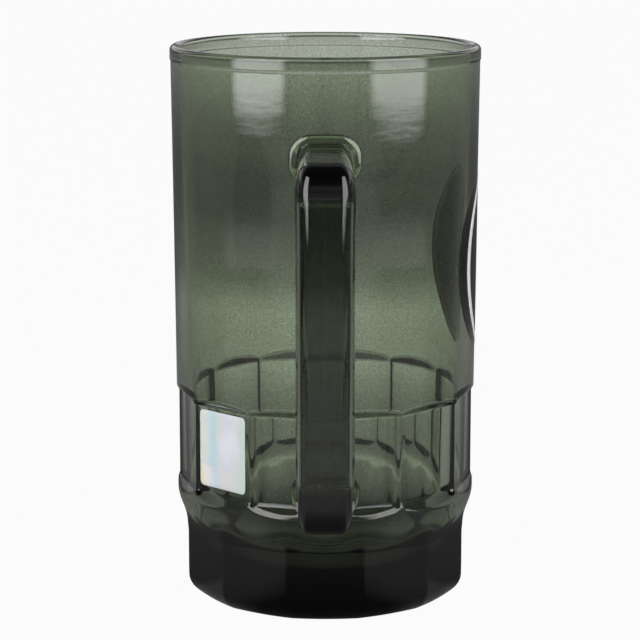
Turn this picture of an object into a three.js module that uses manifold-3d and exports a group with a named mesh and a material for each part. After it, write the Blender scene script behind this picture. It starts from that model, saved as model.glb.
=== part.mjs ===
// A smoked glass tankard: a pressed tumbler with twelve flat panels and a heavy twelve-sided base,
// an applied handle, an enamelled medallion on the wall and a foil label on one panel.
// Millimetres, +Z up. The origin is the middle of the standing face, and the handle points to -Y.
import * as THREE from 'three';
import { mergeVertices } from 'three/addons/utils/BufferGeometryUtils.js';
import Module from 'manifold-3d';

const wasm = await Module();
wasm.setup();

// Tumbler, outside
const height = 171;
const rimRadius = 47.5;
const lipRadius = 1.55;
const beadProud = 0.25;
const beadHeight = 3.2;
const wallTaper = 1.15;
const wallFootHeight = 34;
const baseHeight = 20.5;
const footStep = 3.6;
const baseEdgeRadius = 6.5;

// Tumbler, inside
const floorHeight = 12.6;
const bowlRadius = 20;
const panelWall = 3.4;

// Panels
const panelCount = 12;
const panelDepth = 2.1;
const panelLift = 2.8;
const panelLength = 26.9;
const panelTopSlope = 0.9;
const panelFootSlope = 1.4;

// Handle
const handleReach = 39.1;
const barLean = 3;
const barWidth = 16;
const barThickness = 13;
const barCorner = 3.8;
const outerBend = 7.5;
const innerBend = 3.5;
const upperArmThickness = 10.2;
const upperArmDrop = 29.7;
const upperArmFall = 1.7;
const lowerArmThickness = 10.6;
const lowerArmLift = 6;
const lowerArmRise = 4.6;
const footReach = 5.5;
const upperFootWidth = 21.5;
const upperFootHeight = 15.4;
const lowerFootWidth = 20.5;
const lowerFootHeight = 13.8;

// Label
const labelWidth = 19.8;
const labelHeight = 23.6;
const labelCorner = 1.2;
const labelThickness = 0.2;
const labelPanel = -1.5;

// Medallion
const medallionWidth = 46;
const medallionHeight = 56;
const medallionBand = 2.4;
const medallionDrop = 66;
const medallionAngle = THREE.MathUtils.degToRad(97);
const inkThickness = 0.2;
const earLength = 40;
const stemWidth = 1.6;
const grainLength = 9;
const grainWidth = 3.6;
const grainLean = THREE.MathUtils.degToRad(28);
const grainPairs = 6;
const grainSpacing = 3.9;

// Clearances and facets
const handleGap = 0.3;
const labelGap = 0.3;
const inkGap = 0.3;
const aroundSegments = 48;
const curveSegments = 4;
const barSegments = 3;
const bendSegments = 8;
const ovalSegments = 24;

// Sizes that follow from the ones above
const panelPitch = 2 * Math.PI / panelCount;
const lipHeight = height - lipRadius;
const beadBottom = lipHeight - beadHeight;
const neckRadius = rimRadius - beadProud;
const wallFootRadius = neckRadius - wallTaper;
const panelApothem = wallFootRadius - panelDepth;
const panelBottom = wallFootHeight + panelLift;
const panelTop = panelBottom + panelLength;
const baseApothem = wallFootRadius - footStep;
const baseCornerRadius = baseApothem / Math.cos(panelPitch / 2);
const footBend = 0.43 * (wallFootHeight - baseHeight);
const lipInnerRadius = rimRadius - 2 * lipRadius;
const innerRadius = panelApothem - panelWall;

const wallRadiusAt = (z) => {
  const share = (z - wallFootHeight) / (beadBottom - wallFootHeight);
  return wallFootRadius + (neckRadius - wallFootRadius) * share;
};

// Turns a closed three.js geometry into a solid, with its faces pointing out.
function solid(geometry) {
  const bare = geometry.clone();
  bare.deleteAttribute('normal');
  bare.deleteAttribute('uv');
  const merged = mergeVertices(bare);
  const index = merged.index.array;
  const triangles = [];
  for (let i = 0; i < index.length; i += 3) {
    const [a, b, c] = index.slice(i, i + 3);
    if (a !== b && b !== c && c !== a) triangles.push([a, b, c]);
  }
  const corner = (i) => new THREE.Vector3().fromBufferAttribute(merged.attributes.position, i);
  const volume = (t) => corner(t[0]).dot(corner(t[1]).cross(corner(t[2])));
  const inside = triangles.reduce((sum, t) => sum + volume(t), 0) < 0;
  const facing = inside ? triangles.map(([a, b, c]) => [a, c, b]) : triangles;
  return new wasm.Manifold(new wasm.Mesh({
    numProp: 3,
    vertProperties: new Float32Array(merged.attributes.position.array),
    triVerts: new Uint32Array(facing.flat()),
  }));
}

function part(name, shape, color, roughness) {
  const { vertProperties, triVerts } = shape.getMesh();
  const geometry = new THREE.BufferGeometry();
  geometry.setAttribute('position', new THREE.BufferAttribute(vertProperties, 3));
  geometry.setIndex(new THREE.BufferAttribute(triVerts, 1));
  geometry.computeVertexNormals();
  const mesh = new THREE.Mesh(geometry, new THREE.MeshStandardMaterial({ color, roughness, metalness: 0 }));
  mesh.name = name;
  return mesh;
}

// Revolves a path of (radius, height) points about the vertical axis.
function revolve(path, segments = aroundSegments, start = 0) {
  const geometry = new THREE.LatheGeometry(path.getPoints(curveSegments), segments, start);
  return solid(geometry.rotateX(Math.PI / 2));
}

// Extrudes an upright outline of (across, height) points towards -Y, from the plane y = 0.
function upright(shape, depth, segments = curveSegments) {
  const settings = { depth, bevelEnabled: false, curveSegments: segments };
  return solid(new THREE.ExtrudeGeometry(shape, settings).rotateX(Math.PI / 2));
}

function roundedRectangle(width, length, corner) {
  const x = width / 2 - corner;
  const y = length / 2 - corner;
  const shape = new THREE.Shape();
  shape.absarc(x, y, corner, 0, Math.PI / 2);
  shape.absarc(-x, y, corner, Math.PI / 2, Math.PI);
  shape.absarc(-x, -y, corner, Math.PI, 1.5 * Math.PI);
  shape.absarc(x, -y, corner, 1.5 * Math.PI, 2 * Math.PI);
  return shape;
}

// The tumbler before it is hollowed, grown outwards by a clearance.
function tumblerBlank(grow) {
  const round = new THREE.Path();
  round.moveTo(0, baseHeight);
  round.lineTo(baseApothem + grow, baseHeight);
  round.bezierCurveTo(
    baseApothem + grow, baseHeight + footBend, wallFootRadius + grow, wallFootHeight - footBend,
    wallFootRadius + grow, wallFootHeight,
  );
  round.lineTo(neckRadius + grow, beadBottom);
  round.lineTo(rimRadius + grow, lipHeight);
  round.absarc(rimRadius - lipRadius, lipHeight, lipRadius + grow, 0, Math.PI / 2);
  round.lineTo(0, height + grow);

  const base = new THREE.Path();
  const edge = baseEdgeRadius;
  base.moveTo(0, -grow);
  base.lineTo(baseCornerRadius - edge, -grow);
  base.absarc(baseCornerRadius - edge, edge, edge + grow, -Math.PI / 2, 0);
  base.lineTo(baseCornerRadius + grow, (baseHeight + wallFootHeight) / 2);
  base.lineTo(0, (baseHeight + wallFootHeight) / 2);

  const blank = revolve(round).add(revolve(base, panelCount, panelPitch / 2));
  return panelCutters(grow).reduce((left, cutter) => left.subtract(cutter), blank);
}

// One cutter per panel: everything outside a plane whose two ends slope outwards.
function panelCutters(grow) {
  const out = rimRadius - panelApothem + 2 * panelDepth;
  const width = 2 * rimRadius * Math.tan(panelPitch / 2) + 2 * panelDepth;
  const outline = new THREE.Shape();
  outline.moveTo(panelApothem + grow, panelBottom);
  outline.lineTo(panelApothem + grow + out, panelBottom - out * panelFootSlope);
  outline.lineTo(panelApothem + grow + out, panelTop + out * panelTopSlope);
  outline.lineTo(panelApothem + grow, panelTop);
  const wedge = new THREE.ExtrudeGeometry(outline, { depth: width, bevelEnabled: false });
  wedge.translate(0, 0, -width / 2).rotateX(Math.PI / 2).rotateZ(-Math.PI / 2);
  return Array.from({ length: panelCount }, (_, i) => solid(wedge.clone().rotateZ((i + 0.5) * panelPitch)));
}

function mugBody() {
  const cavity = new THREE.Path();
  cavity.moveTo(0, floorHeight);
  cavity.lineTo(innerRadius - bowlRadius, floorHeight);
  cavity.absarc(innerRadius - bowlRadius, floorHeight + bowlRadius, bowlRadius, -Math.PI / 2, 0);
  cavity.lineTo(lipInnerRadius, lipHeight);
  cavity.absarc(rimRadius - lipRadius, lipHeight, lipRadius, Math.PI, Math.PI / 2, true);
  cavity.lineTo(rimRadius - lipRadius, height + lipRadius);
  cavity.lineTo(0, height + lipRadius);
  return part('mug_body', tumblerBlank(0).subtract(revolve(cavity)), 0x565c50, 0.05);
}

// A bar with two bends, a flared foot at each end and the tumbler's own surface cut out of both.
function handle() {
  const barRadius = neckRadius + handleReach - barThickness / 2;
  const upper = height - upperArmDrop;
  const lower = wallFootHeight + lowerArmLift;
  const axis = [
    new THREE.Vector2(innerRadius, upper),
    new THREE.Vector2(barRadius, upper - upperArmFall),
    new THREE.Vector2(barRadius + barLean, lower + lowerArmRise),
    new THREE.Vector2(innerRadius, lower),
  ];
  const depth = barWidth - 2 * barCorner;
  const bar = new THREE.ExtrudeGeometry(handleOutline(axis), {
    depth, bevelThickness: barCorner, bevelSize: barCorner, bevelOffset: -barCorner,
    bevelSegments: barSegments, curveSegments: bendSegments,
  });
  bar.translate(0, 0, -depth / 2).rotateX(Math.PI / 2).rotateZ(-Math.PI / 2);
  const heightAt = (radius, from, to) => from.y + (to.y - from.y) * (radius - from.x) / (to.x - from.x);
  const upperWall = wallRadiusAt(upper);
  const upperRoot = heightAt(upperWall, axis[0], axis[1]);
  const upperFoot = handleFoot(upperWall, upperRoot, upperFootWidth, upperFootHeight);
  const lowerRoot = heightAt(wallFootRadius, axis[3], axis[2]);
  const lowerFoot = handleFoot(wallFootRadius, lowerRoot, lowerFootWidth, lowerFootHeight);
  const whole = solid(bar).add(upperFoot).add(lowerFoot).subtract(tumblerBlank(handleGap));
  return part('handle', whole, 0x3d4239, 0.06);
}

// The handle from the side, as (outwards, up) points: each run of its axis set off both ways, bends rounded.
function handleOutline(axis) {
  const runs = [0, 1, 2].map((i) => axis[i + 1].clone().sub(axis[i]).normalize());
  const outs = runs.map((run) => new THREE.Vector2(-run.y, run.x));
  const halves = [upperArmThickness, barThickness, lowerArmThickness].map((thickness) => thickness / 2);
  const bend = (i, side, leg) => {
    const [before, after] = [outs[i - 1], outs[i]];
    const corner = new THREE.Vector2(
      halves[i - 1] * after.y - halves[i] * before.y, halves[i] * before.x - halves[i - 1] * after.x,
    ).multiplyScalar(side / before.cross(after)).add(axis[i]);
    const from = corner.clone().addScaledVector(runs[i - 1], -leg);
    const to = corner.clone().addScaledVector(runs[i], leg);
    return [from, corner, to];
  };
  const end = (i, run, side) => axis[i].clone().addScaledVector(outs[run], side * halves[run]);
  const outline = new THREE.Shape();
  const turn = ([from, corner, to]) => {
    outline.lineTo(from.x, from.y);
    outline.quadraticCurveTo(corner.x, corner.y, to.x, to.y);
  };
  const start = end(0, 0, 1);
  outline.moveTo(start.x, start.y);
  turn(bend(1, 1, outerBend));
  turn(bend(2, 1, outerBend));
  for (const corner of [end(3, 2, 1), end(3, 2, -1)]) outline.lineTo(corner.x, corner.y);
  turn(bend(2, -1, innerBend).reverse());
  turn(bend(1, -1, innerBend).reverse());
  const last = end(0, 0, -1);
  outline.lineTo(last.x, last.y);
  outline.closePath();
  return outline;
}

// An oval cone, as wide as the foot at the wall and as the bar where it leaves it.
function handleFoot(wallRadius, z, width, length) {
  const depth = footReach + panelDepth;
  const wide = 1 + (1 - barWidth / width) * panelDepth / footReach;
  const cone = new THREE.CylinderGeometry(wide, barWidth / width, depth, 4 * curveSegments);
  cone.scale(width / 2, 1, length / 2);
  cone.translate(0, -(wallRadius + footReach - depth / 2), z);
  return solid(cone);
}

function foilLabel() {
  const plate = upright(roundedRectangle(labelWidth, labelHeight, labelCorner), labelThickness);
  const label = part('foil_label', plate, 0xdcdfe0, 0.3);
  label.position.set(0, -(panelApothem + labelGap), (panelBottom + panelTop) / 2);
  const panel = new THREE.Group();
  panel.rotation.z = labelPanel * panelPitch;
  panel.add(label);
  return panel;
}

// A barley ear, grown outwards by a clearance: a stem with pairs of leaning grains and one on top.
function barleyEar(grow, depth) {
  const pieces = [roundedRectangle(stemWidth + 2 * grow, earLength + 2 * grow, stemWidth / 2 + grow)];
  const grain = (x, y, lean) => {
    const shape = new THREE.Shape();
    shape.absellipse(x, y, grainWidth / 2 + grow, grainLength / 2 + grow, 0, 2 * Math.PI, false, lean);
    pieces.push(shape);
  };
  const reach = grainLength / 2 * Math.sin(grainLean) + stemWidth / 4;
  for (let i = 1; i <= grainPairs; i += 1) {
    const y = earLength / 2 - i * grainSpacing;
    grain(reach, y, -grainLean);
    grain(-reach, y, grainLean);
  }
  grain(0, earLength / 2, 0);
  return pieces.map((shape) => upright(shape, depth)).reduce((all, piece) => all.add(piece));
}

// Enamel printed on the wall: a white band, a black ground inside it and a white ear in the ground.
function medallion() {
  const centre = height - medallionDrop;
  const depth = 2 * rimRadius;
  const oval = (inset) => {
    const shape = new THREE.Shape();
    shape.absellipse(0, 0, medallionWidth / 2 - inset, medallionHeight / 2 - inset, 0, 2 * Math.PI);
    return upright(shape, depth, ovalSegments);
  };
  const low = centre - medallionHeight;
  const high = centre + medallionHeight;
  const film = new THREE.Path();
  film.moveTo(wallRadiusAt(low) + inkGap, low);
  film.lineTo(wallRadiusAt(low) + inkGap + inkThickness, low);
  film.lineTo(wallRadiusAt(high) + inkGap + inkThickness, high);
  film.lineTo(wallRadiusAt(high) + inkGap, high);
  film.lineTo(wallRadiusAt(low) + inkGap, low);
  const sheet = revolve(film);
  const print = (stencil) => stencil.translate([0, 0, centre]).intersect(sheet);
  const ground = oval(medallionBand + inkGap).subtract(barleyEar(inkGap, depth));
  const group = new THREE.Group();
  group.rotation.z = medallionAngle;
  group.add(
    part('medallion_band', print(oval(0).subtract(oval(medallionBand))), 0xe9ebe8, 0.35),
    part('medallion_ground', print(ground), 0x0d0d0e, 0.35),
    part('medallion_ear', print(barleyEar(0, depth)), 0xe9ebe8, 0.35),
  );
  return group;
}

const mug = new THREE.Group();
mug.add(mugBody(), handle(), foilLabel(), medallion());

export default mug;
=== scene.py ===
import math

import bpy
import numpy as np
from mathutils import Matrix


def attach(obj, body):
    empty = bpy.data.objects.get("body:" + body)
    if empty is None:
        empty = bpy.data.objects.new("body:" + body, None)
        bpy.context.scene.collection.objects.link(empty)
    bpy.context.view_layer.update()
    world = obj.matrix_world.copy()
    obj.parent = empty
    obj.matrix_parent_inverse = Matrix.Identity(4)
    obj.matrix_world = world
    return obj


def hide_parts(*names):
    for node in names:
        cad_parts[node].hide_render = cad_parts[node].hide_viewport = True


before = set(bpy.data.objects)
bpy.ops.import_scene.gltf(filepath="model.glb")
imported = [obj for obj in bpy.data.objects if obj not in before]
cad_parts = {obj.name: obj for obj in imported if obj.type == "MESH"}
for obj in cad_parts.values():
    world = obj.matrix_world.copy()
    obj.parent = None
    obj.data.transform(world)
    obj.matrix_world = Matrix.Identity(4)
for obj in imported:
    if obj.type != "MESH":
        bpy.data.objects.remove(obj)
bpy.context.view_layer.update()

# A smoked glass tankard. Sizes are in millimetres where no note says metres, +Z is up and the handle
# points to -Y. Angles round the mug are measured from the handle towards +X.
millimetre = 0.001
scene = bpy.context.scene
print("frame loaded")


# shared shape functions

# the lower of two values, rounded off by a parabola where they come within reach of each other
def lower(a, b, reach):
    near = np.clip(1 - np.abs(a - b) / reach, 0, 1)
    return np.minimum(a, b) - reach * near**2 / 4


# the higher of two values, rounded off in the same way
def higher(a, b, reach):
    return -lower(-a, -b, reach)


# an S from 0 to 1 between two places: three squares less two cubes of the share of the way
def ease(value, start, end):
    share = np.clip((value - start) / (end - start), 0, 1)
    return share * share * (3 - 2 * share)


# points at a radius, an angle round the mug and a height
def around(radius, angle, height):
    parts = np.broadcast_arrays(radius * np.sin(angle), -radius * np.cos(angle), height)
    return np.stack(parts, axis=-1)


# an arc of points about a centre, between two angles above the first axis: cosine along it, sine up
def arc(centre, radius, start, end, count):
    turn = np.radians(np.linspace(start, end, count))
    return np.stack([centre[0] + radius * np.cos(turn), centre[1] + radius * np.sin(turn)], axis=-1)


# a rounded rectangle run through from the middle of its top to the left: four straight sides
# and four quarter circles, as (across, up) points
def roundedLoop(width, height, corner, flatCount=9, cornerCount=9):
    x, y = width / 2 - corner, height / 2 - corner
    middles = (((-x, y), 90), ((-x, -y), 180), ((x, -y), 270), ((x, y), 0))
    corners = [arc(middle, corner, start, start + 90, cornerCount) for middle, start in middles]
    loop = []
    for last, this in zip(corners[-1:] + corners[:-1], corners):
        share = np.linspace(0, 1, flatCount + 2)[1:-1, None]
        loop += [last[-1] + share * (this[0] - last[-1]), this]
    return np.roll(np.concatenate(loop), -(flatCount // 2), axis=0)


# joins grids of points into one closed skin and sets it up as a piece of the object.
# Columns run round and meet; the rows' ends close on their middles, or on each other if ringed
def makePiece(name, grids, material, node, ringed=False, places=None):
    points, faces, count = [], [], 0
    for grid in grids:
        rows, columns = grid.shape[:2]
        order = count + np.arange(rows * columns).reshape(rows, columns)
        if ringed:
            order = np.vstack([order, order[:1]])
        beside = np.roll(order, -1, axis=1)
        squares = np.stack([order[:-1], beside[:-1], beside[1:], order[1:]], axis=-1)
        faces += squares.reshape(-1, 4).tolist()
        points.append(grid.reshape(-1, 3))
        count += rows * columns
        if not ringed:
            points.append(np.stack([grid[0].mean(axis=0), grid[-1].mean(axis=0)]))
            first, last = np.full(columns, count), np.full(columns, count + 1)
            faces += np.stack([first, beside[0], order[0]], axis=-1).tolist()
            faces += np.stack([order[-1], beside[-1], last], axis=-1).tolist()
            count += 2
    mesh = bpy.data.meshes.new(name)
    mesh.from_pydata(np.concatenate(points) * millimetre, [], faces)
    mesh.polygons.foreach_set("use_smooth", np.ones(len(faces), bool))
    if places is not None:
        place = mesh.attributes.new("place", "FLOAT_VECTOR", "POINT")
        place.data.foreach_set("vector", np.concatenate(places).astype(np.float32).ravel())
    mesh.materials.append(material)
    mesh.update()
    piece = bpy.data.objects.new(name, mesh)
    scene.collection.objects.link(piece)
    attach(piece, "root")
    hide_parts(node)
    print(name, len(mesh.vertices), "points")


# shared shader functions

# a shader node with its settings made; an input that is a socket is linked, any other is typed in
def addNode(tree, kind, inputs, **settings):
    node = tree.nodes.new("ShaderNode" + kind)
    for key, value in settings.items():
        setattr(node, key, value)
    for key, value in inputs.items():
        if isinstance(value, bpy.types.NodeSocket):
            tree.links.new(value, node.inputs[key])
        else:
            node.inputs[key].default_value = value
    return node


# a product, a quotient or the like of single values
def addMath(tree, operation, *values):
    return addNode(tree, "Math", dict(enumerate(values)), operation=operation).outputs[0]


# the same of vectors; what comes out is a vector or, for a length, a single value
def addVectorMath(tree, operation, *vectors, output="Vector"):
    return addNode(tree, "VectorMath", dict(enumerate(vectors)), operation=operation).outputs[output]


# a value's share of the way between two limits, laid out between two results, straight or by an S
def addRange(tree, value, limits, results=(0.0, 1.0), kind="LINEAR"):
    inputs = {"Value": value, "From Min": limits[0], "From Max": limits[1],
              "To Min": results[0], "To Max": results[1]}
    return addNode(tree, "MapRange", inputs, interpolation_type=kind).outputs["Result"]


# cloudy noise, as a value and as a colour
def addNoise(tree, vector, scale, detail):
    return addNode(tree, "TexNoise", {"Vector": vector, "Scale": scale, "Detail": detail}).outputs


# two colours mixed by a share
def addMix(tree, share, first, second):
    return addNode(tree, "MixRGB", {"Fac": share, "Color1": first, "Color2": second}).outputs["Color"]


# a colour ramp along a value, from pairs of place and colour
def addColours(tree, value, pairs):
    ramp = addNode(tree, "ValToRGB", {"Fac": value})
    stops = ramp.color_ramp.elements
    while len(stops) < len(pairs):
        stops.new(1.0)
    for stop, (place, colour) in zip(stops, pairs):
        stop.position, stop.color = place, (*colour, 1)
    return ramp.outputs["Color"]


# a grey ramp of brightness along a value from 0 on, from pairs of value and brightness
def addRamp(tree, value, pairs):
    longest = pairs[-1][0]
    share = addRange(tree, value, (0.0, longest))
    return addColours(tree, share, [(place / longest, (bright, bright, bright)) for place, bright in pairs])


# an empty material with its tree and its output
def newMaterial(name):
    material = bpy.data.materials.new(name)
    material.use_nodes = True
    material.node_tree.nodes.clear()
    output = material.node_tree.nodes.new("ShaderNodeOutputMaterial")
    return material, material.node_tree, output


# an empty node group with its input and its output, from names and kinds of sockets
def newGroup(name, inputs, outputs):
    tree = bpy.data.node_groups.new(name, "ShaderNodeTree")
    for way, sockets in (("INPUT", inputs), ("OUTPUT", outputs)):
        for key, kind in sockets.items():
            tree.interface.new_socket(key, in_out=way, socket_type="NodeSocket" + kind)
    return tree, tree.nodes.new("NodeGroupInput"), tree.nodes.new("NodeGroupOutput")


# glass

glass = {
    "index": 1.52,
    "tint": (0.914, 1.0, 0.85),  # what one wall leaves of the light, whatever its thickness
    "absorbColour": (0.345, 0.365, 0.31, 1),  # what a colour lacks is taken out along the path
    "waveScale": (16, 16, 75), "rippleScale": (125, 125, 440), "swellScale": 38.0,  # per metre
    "smearScale": 2.4, "smearDetail": 5.0,  # on top of the waves' scale
    "smearFrom": (0.52, 0.75), "roughness": (0.0, 0.03),  # noise, and roughness: clean, smeared
    "speckScale": 2000.0, "speckFrom": (0.35, 0.65),  # per metre, and noise: dark, clear
    "grain": 0.24,  # how far the specks darken the tint
}


# normals, smears and specks of pressed glass: flat waves lying round the wall, short ripples and slow swells,
# each a noise times a depth in metres
def makePressedGlass():
    tree, given, made = newGroup(
        "pressedGlass", {"wave": "Float", "ripple": "Float", "swell": "Float"},
        {"normal": "Vector", "smear": "Float", "speck": "Float"})
    place = addNode(tree, "TexCoord", {}).outputs["Object"]
    flat = addNode(tree, "Mapping", {"Vector": place, "Scale": glass["waveScale"]}).outputs["Vector"]
    short = addNode(tree, "Mapping", {"Vector": place, "Scale": glass["rippleScale"]}).outputs["Vector"]
    normal = None
    noises = (("wave", flat, 1.0), ("ripple", short, 1.0), ("swell", place, glass["swellScale"]))
    for key, vector, scale in noises:
        height = addNoise(tree, vector, scale, 1.0)["Fac"]
        bump = addNode(tree, "Bump", {"Height": height, "Distance": given.outputs[key]})
        if normal:
            tree.links.new(normal, bump.inputs["Normal"])
        normal = bump.outputs["Normal"]
    smear = addNoise(tree, flat, glass["smearScale"], glass["smearDetail"])["Fac"]
    speck = addNoise(tree, place, glass["speckScale"], 1.0)["Fac"]
    for key, value in (("normal", normal), ("smear", smear), ("speck", speck)):
        tree.links.new(value, made.inputs[key])
    return tree


pressedGlass = makePressedGlass()


# clear skin over a body that takes light out along its path. Within a limit, a radius in metres that grows
# with height by a share, the skin is smooth. A seam, by half its width and its height in metres, runs round
# the middle plane
def makeGlass(name, absorbPerMetre, relief, smoothWithin=None, seam=None):
    material, tree, output = newMaterial(name)
    place = addNode(tree, "TexCoord", {}).outputs["Object"]
    axes = addNode(tree, "SeparateXYZ", {"Vector": place}).outputs
    surface = addNode(tree, "Group", relief, node_tree=pressedGlass)
    if smoothWithin:
        level = addVectorMath(tree, "MULTIPLY", place, (1, 1, 0))
        radius = addVectorMath(tree, "LENGTH", level, output="Value")
        limit = addMath(tree, "MULTIPLY_ADD", axes["Z"], smoothWithin[1], smoothWithin[0])
        outer = addMath(tree, "GREATER_THAN", radius, limit)
        for key, depth in relief.items():
            tree.links.new(addMath(tree, "MULTIPLY", outer, depth), surface.inputs[key])
    normal = surface.outputs["normal"]
    if seam:
        off = addMath(tree, "ABSOLUTE", axes["X"])
        ridge = addRange(tree, off, (seam[0], 0.0), kind="SMOOTHSTEP")
        bump = addNode(tree, "Bump", {"Height": ridge, "Distance": seam[1], "Normal": normal})
        normal = bump.outputs["Normal"]
    clear = addRange(tree, surface.outputs["speck"], glass["speckFrom"], (1 - glass["grain"], 1.0))
    tinted = addNode(tree, "VectorMath", {0: glass["tint"], "Scale": clear}, operation="SCALE")
    rough = addRange(tree, surface.outputs["smear"], glass["smearFrom"], glass["roughness"])
    skin = addNode(tree, "BsdfPrincipled", {
        "Base Color": tinted.outputs["Vector"], "Roughness": rough, "IOR": glass["index"],
        "Transmission Weight": 1.0, "Normal": normal})
    body = addNode(tree, "VolumeAbsorption", {"Color": glass["absorbColour"], "Density": absorbPerMetre})
    tree.links.new(skin.outputs["BSDF"], output.inputs["Surface"])
    tree.links.new(body.outputs["Volume"], output.inputs["Volume"])
    return material


# mug

mug = {
    "height": 171.0, "rim": 47.5, "lip": 1.55, "beadHeight": 3.2, "beadStep": 0.7,
    "wallFoot": (46.1, 34.0),  # radius and height where the wall meets the waist
    "wallRise": 0.0045, "wallFlare": 3.2e-5,  # outward per millimetre of height, and per its square
    "base": 42.5, "baseHeight": 20.5, "baseEdge": 6.5,
    "waistPull": 0.43,  # how far the waist's curve holds upright from its ends, as a share of its height
    "floor": 12.6, "heel": 20.0, "inner": 40.6,  # inside: floor height, its edge's round, radius above it
    "panel": 43.7, "panelBottom": 36.8, "panelTop": 63.7,
    "panelSlope": (0.9, 1.4),  # height per depth of the sloping ends: top, bottom
    "rib": (0.42, 1.8),  # how far the ribs between the panels stand up, and half their width
    "ribRound": 0.3, "edgeRound": 0.7, "creaseRound": 0.5,
    "footFacets": (-5.0, 8.0),  # heights between which the twelve base sides grow out of the round
    "waistFacets": (22.0, 29.5),  # and between which they fade into it again
    "wallStops": (38.6, 62.2, 69.6), "wallRows": (24, 14, 36, 40),  # rows crowd at the panels' ends
    "wallGap": 0.3,  # between the wall's last two rows, under the bead
    "poleRing": 3.0,  # radius of the first ring about the middle of the foot and of the inner floor
    # points along the other runs of the profile
    "rows": {"foot": 6, "bottom": 12, "side": 6, "waist": 34, "step": 8, "bead": 6, "lip": 17,
             "inner": 34, "heel": 30, "floor": 8},
    "absorbPerMetre": 188.0,
    "relief": {"wave": 0.00005, "ripple": 0.000009, "swell": 0.00003},  # depths in metres
    "smoothWithin": (0.0417, 0.02),  # metres, and metres per metre of height
}
lipHeight = mug["height"] - mug["lip"]
beadBottom = lipHeight - mug["beadHeight"]
sector = math.radians(30)  # one of the twelve sides


# the wall's radius above the waist: a parabola in height
def wallRadius(z):
    rise = np.maximum(z - mug["wallFoot"][1], 0)
    return mug["wallFoot"][0] + mug["wallRise"] * rise + mug["wallFlare"] * rise**2


# the waist's (radius, height) points: a cubic curve from the base to the wall, upright at both
def waist(count):
    low, high = (mug["base"], mug["baseHeight"]), mug["wallFoot"]
    reach = mug["waistPull"] * (high[1] - low[1])
    corners = np.array([low, (low[0], low[1] + reach), (high[0], high[1] - reach), high])
    s = np.linspace(0, 1, count)[:, None]
    return ((1 - s)**3 * corners[0] + 3 * (1 - s)**2 * s * corners[1]
            + 3 * (1 - s) * s**2 * corners[2] + s**3 * corners[3])


# how far an angle is from the nearest middle of a side, of twelve
def fromSide(angle):
    return np.abs((angle + sector / 2) % sector - sector / 2)


# one over the cosine of the angle from the middle of a side, of twelve, with its corner rounded off
def twelveSides(angle, reach):
    off = fromSide(angle)
    return lower(1 / np.cos(off), 1 / np.cos(sector - off), reach)


# outside radius at an angle and a height: the round radius there, cut back to twelve flats whose ends slope
# out, with an S-sided rib between neighbours; the base's own twelve sides lie half a side further round
def outside(angle, z, radius):
    above = (z - mug["panelTop"]) / mug["panelSlope"][0]
    below = (mug["panelBottom"] - z) / mug["panelSlope"][1]
    plane = mug["panel"] + higher(np.maximum(above, below), 0, mug["creaseRound"])
    rib = mug["rib"][0] * (1 - ease(mug["panel"] * fromSide(angle), 0, mug["rib"][1]))
    flats = plane * twelveSides(angle + sector / 2, mug["ribRound"] / mug["panel"]) + rib
    sides = ease(z, *mug["footFacets"]) * (1 - ease(z, *mug["waistFacets"]))
    based = radius * (1 + sides * (twelveSides(angle, mug["ribRound"] / mug["base"]) - 1))
    return lower(based, flats, mug["edgeRound"])


waistCurve = waist(60)


# outside radius of the whole mug between base and bead, for what is set on it
def surfaceRadius(angle, z):
    waistRadius = np.interp(z, waistCurve[:, 1], waistCurve[:, 0])
    return outside(angle, z, np.where(z > mug["wallFoot"][1], wallRadius(z), waistRadius))


# columns crowded towards the ribs and the base's corners: a straight run less a sine
def mugAngles(perHalf=14, crowd=0.8):
    share = np.arange(24 * perHalf) / perHalf
    return (share - crowd * np.sin(2 * np.pi * share) / (2 * np.pi)) * sector / 2


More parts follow.
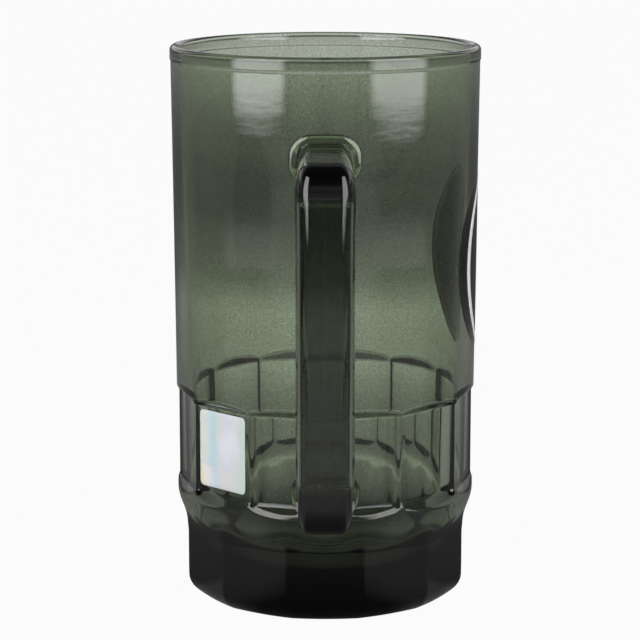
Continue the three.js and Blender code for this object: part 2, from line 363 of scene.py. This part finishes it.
# the whole skin, from the middle of the foot up the outside, over the lip and down to the inner floor:
# a profile of straight runs, arcs and the wall's curves, carried round the axis
def mugGrid():
    angles = mugAngles()
    edge, pole, rows = mug["baseEdge"], mug["poleRing"], mug["rows"]
    footRadii = np.linspace(pole, mug["base"] - edge, rows["foot"])
    foot = np.stack([footRadii, np.zeros(rows["foot"])], axis=-1)[:-1]
    bottom = arc((mug["base"] - edge, edge), edge, -90, 0, rows["bottom"])
    sideHeights = np.linspace(edge, mug["baseHeight"], rows["side"])
    side = np.stack([np.full(rows["side"], mug["base"]), sideHeights], axis=-1)[1:-1]
    stops = (mug["wallFoot"][1], *mug["wallStops"], beadBottom - mug["wallGap"])
    runs = [np.linspace(*run)[1:] for run in zip(stops, stops[1:], mug["wallRows"])]
    heights = np.concatenate([*runs, [beadBottom]])
    wall = np.stack([wallRadius(heights), heights], axis=-1)
    step = beadBottom + mug["beadStep"]
    beadHeights = np.concatenate([
        np.linspace(beadBottom, step, rows["step"])[1:], np.linspace(step, lipHeight, rows["bead"])[1:-1]])
    neck = wallRadius(beadBottom)
    bead = np.stack([neck + (mug["rim"] - neck) * ease(beadHeights, beadBottom, step), beadHeights], axis=-1)
    lip = arc((mug["rim"] - mug["lip"], lipHeight), mug["lip"], 0, 180, rows["lip"])
    heelTop = mug["floor"] + mug["heel"]
    inner = np.linspace(lip[-1], (mug["inner"], heelTop), rows["inner"])[1:-1]
    heel = arc((mug["inner"] - mug["heel"], heelTop), mug["heel"], 0, -90, rows["heel"])
    floorRadii = np.linspace(heel[-1, 0], pole, rows["floor"])
    floor = np.stack([floorRadii, np.full(rows["floor"], mug["floor"])], axis=-1)[1:]
    skirt = np.concatenate([foot, bottom, side, waist(rows["waist"]), wall])
    top = np.concatenate([bead, lip, inner, heel, floor])
    turned = outside(angles[None], skirt[:, 1:], skirt[:, :1])
    plain = np.broadcast_to(top[:, :1], (len(top), len(angles)))
    return around(np.concatenate([turned, plain]), angles[None], np.concatenate([skirt, top])[:, 1:])


mugGlass = makeGlass("smokedWall", mug["absorbPerMetre"], mug["relief"], smoothWithin=mug["smoothWithin"])
makePiece("mugBody", [mugGrid()], mugGlass, "mug_body")


# handle

handle = {
    "width": 16.0, "thickness": (10.2, 13.0, 10.6), "corner": 3.8,  # thickness: upper arm, bar, lower arm
    "bar": (79.8, 82.8), "root": 41.4,  # the axis from the mug's: at the bar's top and foot, and at the ends
    "upper": (141.3, 139.6), "lower": (40.0, 44.6),  # height of the axis at the root and at the bar
    "bendLeg": (7.5, 3.5),  # straight length that a bend takes up, on the outside and on the inside
    "bendRows": 26, "barRows": 42,  # points along a bend and along the bar
    "footReach": 5.5,  # from the wall to where a foot starts to flare
    "upperFoot": (21.5, 15.4, 7.0), "lowerFoot": (20.5, 13.8, 6.0),  # width, height, corner
    "footLift": (-0.2, 0.6),  # of the feet's middles from the axis: upper, lower
    "flareSink": 0.02, "sink": 0.4,  # how far the flare's edge and the ends lie inside the wall
    "endShares": (0.985, 0.12),  # first and last ring of an end, as shares of the foot's outline
    "wallNear": 46.0,  # the wall's radius, near enough to find an angle by
    "bendSwell": 0.03, "bendReach": 9.0,  # share wider at the upper bend, and how far round it
    "bendOut": 6.0,  # from the bar's axis out to the middle of that swell
    "armSlim": 0.07, "armSlimFrom": (-75.0, -52.0),  # share slimmer at the wall, and where along y it sets in
    "backWide": 0.11,  # share by which the width grows towards the mug and shrinks towards the front
    "absorbPerMetre": 228.0,
    "relief": {"wave": 0.00003, "ripple": 0.0000025, "swell": 0.00005},  # depths in metres
    "seam": (0.0004, 0.00005),  # half width and height in metres
}


# one side of the bar as (y, z) points, half its thickness off its axis: straight runs joined by
# parabolic bends
def handleSide(side, leg):
    top, foot = handle["bar"]
    route = np.array([(-handle["root"], handle["upper"][0]), (-top, handle["upper"][1]),
                      (-foot, handle["lower"][1]), (-handle["root"], handle["lower"][0])])
    reach = surfaceRadius(np.zeros(2), route[[0, 3], 1]) + handle["footReach"] - handle["root"]
    runs = np.diff(route, axis=0)
    runs /= np.linalg.norm(runs, axis=1, keepdims=True)
    outs = np.stack([runs[:, 1], -runs[:, 0]], axis=-1)
    lifts = side * np.array(handle["thickness"]) / 2
    share = np.linspace(0, 1, handle["bendRows"])[:, None]
    bends = []
    for i in (1, 2):
        corner = route[i] + np.linalg.solve(outs[i - 1:i + 1], lifts[i - 1:i + 1])
        before, after = corner - leg * runs[i - 1], corner + leg * runs[i]
        bends.append((1 - share)**2 * before + 2 * share * (1 - share) * corner + share**2 * after)
    start = route[0] + runs[0] * reach[0] + lifts[0] * outs[0]
    end = route[3] - runs[2] * reach[1] + lifts[2] * outs[2]
    bar = np.linspace(bends[0][-1], bends[1][0], handle["barRows"])[1:-1]
    return np.concatenate([[start], bends[0], bar, bends[1], [end]])


# where the wall's surface lies in front of (x, z), sunk below it by a depth
def wallFront(x, z, depth):
    radius = surfaceRadius(np.arcsin(np.clip(x / handle["wallNear"], -1, 1)), z) - depth
    return -np.sqrt(radius**2 - x**2)


# rows from a ring of the bar out to the foot's outline on the wall, a quarter ellipse in section,
# then over the end that lies inside the wall, shrinking to its middle
def footRows(ring, loop, upward, centre, flareCount=16, endCount=12):
    outline = np.stack([loop[:, 0], centre + upward * loop[:, 1]], axis=-1)
    turn = np.linspace(0, np.pi / 2, flareCount)[1:, None]
    x = ring[:, 0] + (1 - np.cos(turn)) * (outline[:, 0] - ring[:, 0])
    z = ring[:, 2] + (1 - np.cos(turn)) * (outline[:, 1] - ring[:, 2])
    y = ring[:, 1] + np.sin(turn) * (wallFront(x, z, handle["flareSink"]) - ring[:, 1])
    flare = np.stack([x, y, z], axis=-1)
    shrink = np.linspace(*handle["endShares"], endCount)[:, None]
    x, z = shrink * outline[:, 0], centre + shrink * (outline[:, 1] - centre)
    end = np.stack([x, wallFront(x, z, handle["sink"]), z], axis=-1)
    return np.concatenate([flare, end])


# a rounded bar between its outer and inner sides, wider by a bell curve round the upper bend, slimmer by an S
# towards the wall, with a foot at each end
def handleGrid():
    outer, inner = (handleSide(side, leg) for side, leg in zip((1, -1), handle["bendLeg"]))
    loop = roundedLoop(handle["width"], handle["thickness"][1], handle["corner"])
    up = 2 * loop[:, 1:] / handle["thickness"][1]
    side = (outer[:, None] * (1 + up) + inner[:, None] * (1 - up)) / 2
    bend = (-handle["bar"][0] - handle["bendOut"], handle["upper"][1])
    fromBend = np.hypot(*(outer - bend).T)
    swell = handle["bendSwell"] * np.exp(-(fromBend / handle["bendReach"])**2)
    wide = 1 + swell - handle["armSlim"] * ease(outer[:, 0], *handle["armSlimFrom"])
    across = loop[:, 0] * (1 - handle["backWide"] * up[:, 0])
    bar = np.concatenate([(across * wide[:, None])[..., None], side], axis=-1)
    upperMiddle = handle["upper"][0] + handle["footLift"][0]
    lowerMiddle = handle["lower"][0] + handle["footLift"][1]
    upperRows = footRows(bar[0], roundedLoop(*handle["upperFoot"]), 1, upperMiddle)
    lowerRows = footRows(bar[-1], roundedLoop(*handle["lowerFoot"]), -1, lowerMiddle)
    return np.concatenate([upperRows[::-1], bar, lowerRows])


handleGlass = makeGlass("smokedHandle", handle["absorbPerMetre"], handle["relief"], seam=handle["seam"])
makePiece("barHandle", [handleGrid()], handleGlass, "handle")


# label

label = {
    "size": (19.8, 23.6), "corner": 1.5, "side": -1.5,  # panel, counted from the handle
    "bottom": 38.9, "proud": 0.16, "sink": 0.03, "edgeDrop": 0.04,
    "ringShares": (0.1, 0.99), "ringCounts": (8, 4),  # rings of the face and of the back, short of the edge
    # colours from left to right, on the face and along the foot
    "foil": ((0.0, (0.82, 0.83, 0.79)), (0.14, (0.78, 0.82, 0.80)), (0.27, (0.55, 0.76, 0.83)),
             (0.42, (0.74, 0.78, 0.78)), (0.64, (0.77, 0.77, 0.88)), (0.82, (0.74, 0.77, 0.77)),
             (1.0, (0.62, 0.74, 0.68))),
    "strip": ((0.0, (0.92, 0.82, 0.62)), (0.12, (0.89, 0.89, 0.84)), (0.34, (0.68, 0.76, 0.89)),
              (0.52, (0.78, 0.78, 0.77)), (1.0, (0.64, 0.76, 0.71))),
    "stripTop": (0.29, 0.26),  # shares of the height between which the strip sets in
    "cloudScale": 3.2, "cloudDetail": 3.0, "wander": (0.2, 0.2, 0),  # noise, and how far it shifts the bands
    "glowMiddle": (0.62, 0.58, 0), "glowReach": (0.30, 0.1), "glowShare": 0.85,
    "glowColour": (0.86, 0.86, 0.93, 1),
    "hatchPitch": 0.62, "hatchTurn": -42.0,  # millimetres between the fine slanting lines, and degrees
    "hatchColour": (0.35, 0.4, 0.42, 1), "hatchDepth": 0.16, "hatchFrom": (0.4, 0.62),
    "roughness": (0.28, 0.5), "metallic": 0.15, "relief": 0.000004,  # relief in metres
}


# a plate on a panel: rings of a rounded rectangle from the middle of its face to its edge, and back behind,
# with each point's place on the plate as shares of its width and height
def labelGrid():
    loop = roundedLoop(*label["size"], label["corner"])
    (start, end), (face, back) = label["ringShares"], label["ringCounts"]
    share = np.concatenate([np.linspace(start, end, face), [1, 1], np.linspace(end, start, back)])[:, None]
    proud, sink = label["proud"], -label["sink"]
    lift = np.concatenate([np.full(face, proud), [proud - label["edgeDrop"], sink], np.full(back, sink)])
    across, up = -share * loop[:, 0], share * loop[:, 1]
    turn = label["side"] * sector
    depth = mug["panel"] + lift[:, None] + 0 * across
    x = depth * np.sin(turn) + across * np.cos(turn)
    y = -depth * np.cos(turn) + across * np.sin(turn)
    grid = np.stack([x, y, label["bottom"] + label["size"][1] / 2 + up], axis=-1)[:, ::-1]
    place = np.stack([across / label["size"][0] + 0.5, up / label["size"][1] + 0.5, 0 * up], axis=-1)[:, ::-1]
    return grid[::-1], place[::-1]


# pearly foil: pastel bands that wander a little, a plainer strip along the foot, a round glow and
# slanting hatching
def makeFoil():
    material, tree, output = newMaterial("foil")
    place = addNode(tree, "Attribute", {}, attribute_name="place").outputs["Vector"]
    cloud = addNoise(tree, place, label["cloudScale"], label["cloudDetail"])
    drift = addVectorMath(tree, "SUBTRACT", cloud["Color"], (0.5, 0.5, 0.5))
    wandered = addVectorMath(tree, "MULTIPLY_ADD", drift, label["wander"], place)
    across = addNode(tree, "SeparateXYZ", {"Vector": wandered}).outputs["X"]
    up = addNode(tree, "SeparateXYZ", {"Vector": place}).outputs["Y"]
    low = addRange(tree, up, label["stripTop"])
    face, strip = (addColours(tree, across, label[key]) for key in ("foil", "strip"))
    bands = addMix(tree, low, face, strip)
    away = addVectorMath(tree, "DISTANCE", wandered, label["glowMiddle"], output="Value")
    glow = addRange(tree, away, label["glowReach"], (0.0, label["glowShare"]), "SMOOTHSTEP")
    lit = addMix(tree, glow, bands, label["glowColour"])
    slant = addNode(tree, "Mapping", {
        "Vector": place, "Scale": (*label["size"], 1),
        "Rotation": (0, 0, math.radians(label["hatchTurn"]))}).outputs["Vector"]
    waveScale = math.pi / (10 * label["hatchPitch"])  # a wave texture turns 20 radians per unit
    wave = addNode(tree, "TexWave", {"Vector": slant, "Scale": waveScale}, bands_direction="Y")
    hatch = wave.outputs["Fac"]
    patchy = addRange(tree, cloud["Fac"], label["hatchFrom"], (0.0, label["hatchDepth"]))
    lined = addMix(tree, addMath(tree, "MULTIPLY", hatch, patchy), lit, label["hatchColour"])
    rough = addRange(tree, cloud["Fac"], (0.0, 1.0), label["roughness"])
    normal = addNode(tree, "Bump", {"Height": hatch, "Distance": label["relief"]}).outputs["Normal"]
    skin = addNode(tree, "BsdfPrincipled", {
        "Base Color": lined, "Roughness": rough, "Metallic": label["metallic"], "Normal": normal})
    tree.links.new(skin.outputs["BSDF"], output.inputs["Surface"])
    return material


labelPoints, labelPlaces = labelGrid()
labelMiddles = np.array([[0.5, 0.5, 0], [0.5, 0.5, 0]])
makePiece("foilLabel", [labelPoints], makeFoil(), "foil_label",
          places=[labelPlaces.reshape(-1, 3), labelMiddles])


# medallion

medallion = {
    "size": (46.0, 56.0), "band": 2.4, "angle": 97.0, "height": 105.0,
    "proud": 0.12, "sink": 0.03, "edgeDrop": 0.04,
    "ringShares": (0.06, 0.985), "rings": 8,  # rings of a film's face and of its back, short of its edge
    "bevel": 0.05,  # from the band's edge to the last ring of its face
    "lap": 0.1,  # how far the ground runs into the band
    "ear": {"length": 40.0, "stem": 1.6, "stemLift": 0.02,
            "grain": (3.6, 9.0), "grainLift": 0.03, "lean": 28.0, "pairs": 6, "spacing": 3.9, "points": 40},
    # the enamels, and where they are thin
    "white": {"full": (0.80, 0.81, 0.79, 1), "thin": (0.70, 0.72, 0.70, 1)},
    "black": {"full": (0.004, 0.004, 0.0045, 1), "thin": (0.012, 0.013, 0.012, 1)},
    "cloudScale": 240.0, "cloudDetail": 4.0, "screenScale": 1900.0,  # per metre
    "thinFrom": (0.45, 0.75), "roughFrom": (0.3, 0.7), "roughness": (0.24, 0.42),
    "relief": 0.000012,  # in metres
}


# (across, up) points on the flat, laid on the round wall at a lift from its surface
def onWall(across, up, lift):
    z = medallion["height"] + up
    radius = wallRadius(z)
    angle = math.radians(medallion["angle"]) + np.arcsin(across / radius)
    return around(radius + lift, angle, z)


# a thin film bounded by a closed line about a middle: its face in rings, its edge and its back
def filmGrid(loop, middle=(0, 0), extra=0.0):
    (start, end), rings = medallion["ringShares"], medallion["rings"]
    share = np.concatenate([np.linspace(start, end, rings), [1, 1], np.linspace(end, start, rings)])[:, None]
    proud, sink = medallion["proud"] + extra, -medallion["sink"]
    lift = np.concatenate([np.full(rings, proud), [proud - medallion["edgeDrop"]], np.full(rings + 1, sink)])
    return onWall(middle[0] + share * loop[:, 0], middle[1] + share * loop[:, 1], lift[:, None])


# an oval by its half axes, leaning by an angle: cosine across and sine up, turned
def oval(halfWidth, halfHeight, lean=0.0, count=96):
    turn = np.linspace(0, 2 * np.pi, count, endpoint=False)
    x, y = halfWidth * np.cos(turn), halfHeight * np.sin(turn)
    c, s = math.cos(lean), math.sin(lean)
    return np.stack([x * c - y * s, x * s + y * c], axis=-1)


# a flat band between two ovals, run through its section: face, outer edge, back and inner edge
def bandGrid():
    (width, height), band = medallion["size"], medallion["band"]
    insets = [*np.linspace(band, band / 4, 4), medallion["bevel"], 0, 0, band / 2, band]
    proud, sink = medallion["proud"], -medallion["sink"]
    lifts = [proud] * 5 + [proud - medallion["edgeDrop"]] + [sink] * 3
    return np.stack([onWall(*oval(width / 2 - inset, height / 2 - inset).T, lift)
                     for inset, lift in zip(insets, lifts)])


# a stem with pairs of leaning ovals and one on top
def earGrids():
    ear = medallion["ear"]
    halfWide, halfLong = ear["grain"][0] / 2, ear["grain"][1] / 2
    lean = math.radians(ear["lean"])
    reach = halfLong * math.sin(lean) + ear["stem"] / 4
    stem = oval(ear["stem"] / 2, ear["length"] / 2, count=ear["points"])
    grids = [filmGrid(stem, extra=ear["stemLift"])]
    grains = [(side, i) for i in range(1, ear["pairs"] + 1) for side in (1, -1)] + [(0, 0)]
    for side, i in grains:
        grain = oval(halfWide, halfLong, -side * lean, ear["points"])
        middle = (side * reach, ear["length"] / 2 - i * ear["spacing"])
        grids.append(filmGrid(grain, middle, extra=ear["grainLift"]))
    return grids


# tone, roughness and normals of fired enamel: a faint mottle, pinholes of the screen and an orange-peel skin
def makeFiredEnamel():
    tree, given, made = newGroup(
        "firedEnamel", {"full": "Color", "thin": "Color"},
        {"tone": "Color", "roughness": "Float", "normal": "Vector"})
    place = addNode(tree, "TexCoord", {}).outputs["Object"]
    cloud = addNoise(tree, place, medallion["cloudScale"], medallion["cloudDetail"])["Fac"]
    screen = addNode(tree, "TexVoronoi", {"Vector": place, "Scale": medallion["screenScale"]})
    worn = addRange(tree, cloud, medallion["thinFrom"])
    tone = addMix(tree, worn, given.outputs["full"], given.outputs["thin"])
    rough = addRange(tree, cloud, medallion["roughFrom"], medallion["roughness"])
    peel = addMath(tree, "ADD", screen.outputs["Distance"], cloud)
    normal = addNode(tree, "Bump", {"Height": peel, "Distance": medallion["relief"]}).outputs["Normal"]
    for key, value in (("tone", tone), ("roughness", rough), ("normal", normal)):
        tree.links.new(value, made.inputs[key])
    return tree


firedEnamel = makeFiredEnamel()


# one colour of fired enamel
def makeEnamel(name, colours):
    material, tree, output = newMaterial(name)
    surface = addNode(tree, "Group", colours, node_tree=firedEnamel).outputs
    skin = addNode(tree, "BsdfPrincipled", {
        "Base Color": surface["tone"], "Roughness": surface["roughness"], "Normal": surface["normal"]})
    tree.links.new(skin.outputs["BSDF"], output.inputs["Surface"])
    return material


whiteEnamel = makeEnamel("whiteEnamel", medallion["white"])
blackEnamel = makeEnamel("blackEnamel", medallion["black"])
groundHalves = [side / 2 - medallion["band"] + medallion["lap"] for side in medallion["size"]]
makePiece("medallionBand", [bandGrid()], whiteEnamel, "medallion_band", ringed=True)
makePiece("medallionGround", [filmGrid(oval(*groundHalves))], blackEnamel, "medallion_ground")
makePiece("medallionEar", earGrids(), whiteEnamel, "medallion_ear")


# stage, in metres

stage = {
    "floor": (0.16, 0.16, 0.16, 1), "floorSize": 20.0, "floorDrop": 0.0003,
    "cameraWhite": 0.96,  # share of white in the floor that the camera sees, so that a shadow is left
    # brightness of the sky by the upward share of a direction: plain, through the glass, mirrored from behind
    "sky": ((0.0, 0.2), (0.2, 0.34), (0.36, 0.08), (0.8, 0.04), (1.0, 0.04)),
    "skyThrough": ((0.0, 0.6), (0.1, 0.5), (0.25, 0.18), (0.5, 0.18), (0.7, 0.5), (1.0, 0.7)),
    "skyBehind": ((0.0, 0.15), (0.08, 0.2), (0.14, 0.9), (0.3, 0.9), (0.5, 0.3), (0.8, 0.05), (1.0, 0.05)),
    "skyBehindFrom": (0.2, 0.6),  # backward share of a direction between which the last one sets in
    # brightness of the floor by distance from the mug: through the glass, straight behind and beside. Dark
    # close to the mug as a painted shadow of it, and lighter further out as painted light on the floor
    "through": ((0.0, 0.04), (0.07, 0.23), (0.14, 0.31), (0.2, 0.32), (0.25, 0.44), (0.32, 0.8), (0.42, 0.9),
                (0.5, 0.42), (0.59, 0.27), (0.69, 0.15), (0.85, 0.15), (1.1, 0.27), (1.45, 0.58),
                (1.75, 0.62), (2.1, 0.66)),
    "beside": ((0.0, 0.2), (0.15, 0.6), (2.1, 0.6)),
    # the same, mirrored in the glass: straight ahead, towards the softboxes and behind. Dark close to the mug
    # as its painted shadow, and lighter towards the softboxes as painted pools of their light
    "ahead": ((0.0, 0.03), (0.08, 0.08), (0.15, 0.2), (0.22, 0.3), (0.33, 0.46), (0.43, 0.62), (0.59, 0.62),
              (0.81, 0.48), (1.1, 0.22), (1.5, 0.15), (2.1, 0.3)),
    "aside": ((0.0, 0.05), (0.08, 0.3), (0.2, 0.4), (0.4, 0.5), (0.5, 0.4), (0.57, 0.1), (0.61, 0.2),
              (0.65, 0.65), (0.71, 0.65), (0.76, 0.3), (0.82, 0.1), (1.2, 0.12), (2.1, 0.3)),
    "behind": ((0.0, 0.05), (0.08, 0.15), (0.3, 0.25), (0.6, 0.12), (1.0, 0.12), (2.1, 0.25)),
    # cosines of the bearing from the handle's side between which these set in
    "besideFrom": (-0.85, -0.6), "asideFrom": (0.88, 0.7), "behindFrom": (0.3, 0.1),
    # bearing in degrees, width, height of the foot and radiance
    "softboxes": {"softboxLeft": (-49.5, 0.75, 0.03, 5.6), "softboxRight": (54.9, 0.83, 0.026, 4.8)},
    "softbox": {"distance": 0.85, "height": 1.0, "through": 0.15},  # share of it that shows through the glass
    "softEdge": (0.19, 0.03),  # shares of a softbox's sides over which it fades
    "bounces": 24,
}


# a square floor: nearly white to the camera, a grey by distance from the mug and by the cosine of the bearing
# to mirrored rays and to rays through the glass, and matte to any other. The grey is painted shade and light:
# a painted shadow of the mug close to it and painted light further out
def makeFloor():
    material, tree, output = newMaterial("paleFloor")
    path = addNode(tree, "LightPath", {}).outputs
    place = addNode(tree, "TexCoord", {}).outputs["Object"]
    away = addVectorMath(tree, "LENGTH", place, output="Value")
    back = addNode(tree, "SeparateXYZ", {"Vector": place}).outputs["Y"]
    bearing = addMath(tree, "DIVIDE", addMath(tree, "MULTIPLY", back, -1.0), away)
    matte = addNode(tree, "BsdfDiffuse", {"Color": stage["floor"]})
    white = addNode(tree, "Emission", {"Color": (1, 1, 1, 1), "Strength": 1.0})
    cameraShare = addMath(tree, "MULTIPLY", path["Is Camera Ray"], stage["cameraWhite"])
    mixed = addNode(tree, "MixShader", {0: cameraShare, 1: matte.outputs[0], 2: white.outputs[0]})
    views = {"Is Glossy Ray": ("ahead", "aside", "behind"), "Is Transmission Ray": ("through", "beside")}
    for ray, (first, *others) in views.items():
        # for this kind of ray the floor glows with a painted shadow of the mug near it and painted light
        # further out
        tone = addRamp(tree, away, stage[first])
        for key in others:
            share = addRange(tree, bearing, stage[key + "From"], kind="SMOOTHSTEP")
            tone = addMix(tree, share, tone, addRamp(tree, away, stage[key]))
        glow = addNode(tree, "Emission", {"Color": tone, "Strength": 1.0})
        mixed = addNode(tree, "MixShader", {0: path[ray], 1: mixed.outputs[0], 2: glow.outputs[0]})
    tree.links.new(mixed.outputs[0], output.inputs["Surface"])
    half, low = stage["floorSize"] / 2, -stage["floorDrop"]
    mesh = bpy.data.meshes.new("floor")
    mesh.from_pydata([(-half, -half, low), (half, -half, low), (half, half, low), (-half, half, low)],
                     [], [(0, 1, 2, 3)])
    mesh.materials.append(material)
    floor = bpy.data.objects.new("floor", mesh)
    scene.collection.objects.link(floor)


# a sky of greys by the upward share of a direction, each kind of ray with its own, and white to the camera
def makeWorld():
    world = bpy.data.worlds.new("studio")
    world.use_nodes = True
    tree = world.node_tree
    tree.nodes.clear()
    output = tree.nodes.new("ShaderNodeOutputWorld")
    path = addNode(tree, "LightPath", {}).outputs
    direction = addNode(tree, "TexCoord", {}).outputs["Generated"]
    axes = addNode(tree, "SeparateXYZ", {"Vector": direction}).outputs
    behind = addRange(tree, axes["Y"], stage["skyBehindFrom"], kind="SMOOTHSTEP")
    mirrored = addMath(tree, "MULTIPLY", behind, path["Is Glossy Ray"])
    mixed, pale, through = (
        addNode(tree, "Background", {"Color": addRamp(tree, axes["Z"], stage[key]), "Strength": 1.0})
        for key in ("sky", "skyBehind", "skyThrough"))
    white = addNode(tree, "Background", {"Color": (1, 1, 1, 1), "Strength": 1.0})
    views = ((mirrored, pale), (path["Is Transmission Ray"], through), (path["Is Camera Ray"], white))
    for share, shown in views:
        mixed = addNode(tree, "MixShader", {0: share, 1: mixed.outputs[0], 2: shown.outputs[0]})
    tree.links.new(mixed.outputs[0], output.inputs["Surface"])
    scene.world = world


# a softbox's cloth: bright in the middle, fading to its edges by an S on each axis of its own plane
def makeCloth(radiance):
    material, tree, output = newMaterial("softboxCloth")
    place = addNode(tree, "Attribute", {}, attribute_name="place").outputs["Vector"]
    axes = addNode(tree, "SeparateXYZ", {"Vector": place}).outputs
    fades = []
    for key, edge in zip("XY", stage["softEdge"]):
        off = addMath(tree, "ABSOLUTE", axes[key])
        fades.append(addRange(tree, off, (1.0, 1 - 2 * edge), kind="SMOOTHSTEP"))
    through = addNode(tree, "LightPath", {}).outputs["Is Transmission Ray"]
    seen = addRange(tree, through, (0.0, 1.0), (radiance, radiance * stage["softbox"]["through"]))
    power = addMath(tree, "MULTIPLY", addMath(tree, "MULTIPLY", *fades), seen)
    glow = addNode(tree, "Emission", {"Color": (1, 1, 1, 1), "Strength": power})
    tree.links.new(glow.outputs[0], output.inputs["Surface"])
    return material


# a flat lamp: a rectangle about a place, its sides along two directions
def addLamp(name, place, across, up, radiance):
    signs = np.array([(-1, -1), (1, -1), (1, 1), (-1, 1)], float)
    corners = np.array(place) + signs[:, :1] * np.array(across) / 2 + signs[:, 1:] * np.array(up) / 2
    mesh = bpy.data.meshes.new(name)
    mesh.from_pydata(corners, [], [(0, 1, 2, 3)])
    shares = mesh.attributes.new("place", "FLOAT_VECTOR", "POINT")
    shares.data.foreach_set("vector", np.hstack([signs, np.zeros((4, 1))]).ravel())
    mesh.materials.append(makeCloth(radiance))
    lamp = bpy.data.objects.new(name, mesh)
    lamp.visible_camera = False  # so that a turned view keeps its plain background
    scene.collection.objects.link(lamp)


# upright softboxes that face the mug from a circle about it
def makeLamps():
    box = stage["softbox"]
    for name, (bearing, width, low, radiance) in stage["softboxes"].items():
        turn = math.radians(bearing)
        place = (box["distance"] * math.sin(turn), -box["distance"] * math.cos(turn), low + box["height"] / 2)
        across = (width * math.cos(turn), width * math.sin(turn), 0)
        addLamp(name, place, across, (0, 0, box["height"]), radiance)


makeFloor()
makeWorld()
makeLamps()
scene.cycles.max_bounces = stage["bounces"]
scene.cycles.transmission_bounces = stage["bounces"]
print("stage made")


# camera: metres, degrees, and millimetres for its lens and sensor

camera = {
    "distance": 0.8094, "height": 0.2395, "pitch": 10.787, "turn": 0.1146,
    "lens": 149.06, "sensor": 36.0,
}
cameraData = bpy.data.cameras.new("camera")
cameraData.lens = camera["lens"]
cameraData.sensor_width = camera["sensor"]
cameraObject = bpy.data.objects.new("camera", cameraData)
cameraObject.location = (0, -camera["distance"], camera["height"])
cameraObject.rotation_euler = (math.radians(90 - camera["pitch"]), 0, math.radians(camera["turn"]))
scene.collection.objects.link(cameraObject)
scene.camera = cameraObject
scene.view_settings.view_transform = "Standard"
print("camera set")
